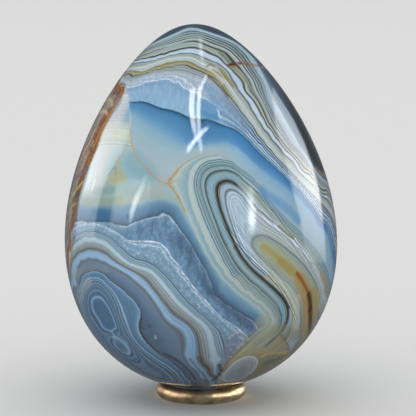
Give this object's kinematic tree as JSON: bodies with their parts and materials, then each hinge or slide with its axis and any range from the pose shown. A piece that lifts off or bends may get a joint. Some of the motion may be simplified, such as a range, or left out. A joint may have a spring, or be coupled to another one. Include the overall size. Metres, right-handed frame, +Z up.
{
  "type": "decorative egg on ring stand",
  "caption": "Polished banded agate egg resting loose in a small cast bronze ring that stands on a flat surface.",
  "frame": {"origin": "centre of the ring on the surface that it stands on", "axes": "+Z up through the ring, +X to the viewer's right, +Y away from the viewer; the egg's tip leans 2 degrees towards -X"},
  "size_m": [0.0672, 0.0672, 0.0925],
  "materials": {
    "banded_agate": "polished",
    "cast_bronze": "worn cast bronze"
  },
  "bodies": {
    "ring": {"bronze_ring": "cast_bronze"},
    "egg": {"agate_egg": "banded_agate"}
  },
  "joints": [
    {"name": "egg_lift", "type": "slide", "parent": "ring", "child": "egg", "axis": [0, 0, 1], "range_m": [0, 0.04]}
  ]
}
